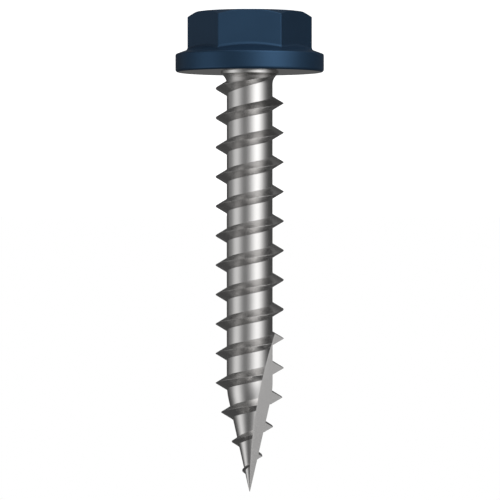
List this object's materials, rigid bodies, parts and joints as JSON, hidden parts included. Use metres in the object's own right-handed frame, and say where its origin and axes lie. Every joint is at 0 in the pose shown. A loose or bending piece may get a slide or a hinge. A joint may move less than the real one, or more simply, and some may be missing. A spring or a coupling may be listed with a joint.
{
  "type": "hex flange head timber screw",
  "caption": "Self-drilling timber screw with a hexagonal flange head, a coarse sharp thread on a slim core, and a long point with a milled cutting notch.",
  "frame": {"origin": "the middle of the flat top of the head, on which the screw stands", "axes": "+Z along the screw's axis from the head towards the point; +X through a corner of the hexagon; the notch in the point opens towards -X and -Y, and its flat face looks along -Y"},
  "size_m": [0.0138, 0.0138, 0.0443],
  "materials": {
    "bright_steel": "bright zinc-plated steel on the neck, shank, thread and point",
    "head_paint": "smooth satin navy blue paint on the hexagon and the flange, down to the round under the rim; a coating on the same solid"
  },
  "bodies": {
    "root": {"screw": "bright_steel"}
  },
  "joints": []
}
